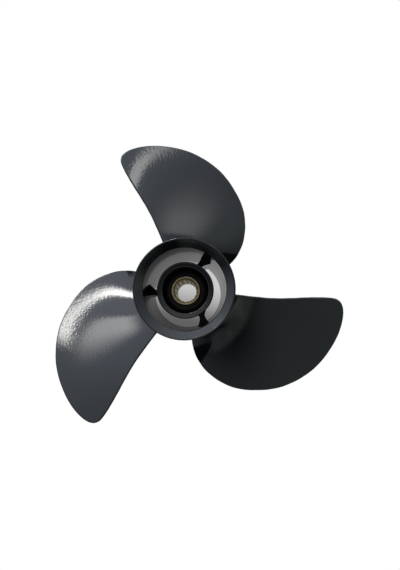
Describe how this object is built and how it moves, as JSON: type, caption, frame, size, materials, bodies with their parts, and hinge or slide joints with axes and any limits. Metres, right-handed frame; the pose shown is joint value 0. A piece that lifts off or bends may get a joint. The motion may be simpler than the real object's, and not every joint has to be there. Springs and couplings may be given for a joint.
{
  "type": "outboard motor propeller",
  "caption": "Right-hand boat propeller with skewed blades, a through-hub exhaust with a flared aft ring, and a splined brass sleeve held in a rubber bush.",
  "frame": {"origin": "on the propeller shaft's axis, in the plane of the hub's front face, on which the propeller stands", "axes": "+Z aft along the shaft; +X and +Y across it, with one blade's trailing edge about 25 degrees past +Y"},
  "size_m": [0.2171, 0.2088, 0.075],
  "materials": {
    "painted_casting": "gloss",
    "bush_rubber": "matte",
    "sleeve_brass": "satin"
  },
  "bodies": {
    "root": {"propeller_casting": "painted_casting", "rubber_bush": "bush_rubber", "splined_sleeve": "sleeve_brass"}
  },
  "joints": []
}
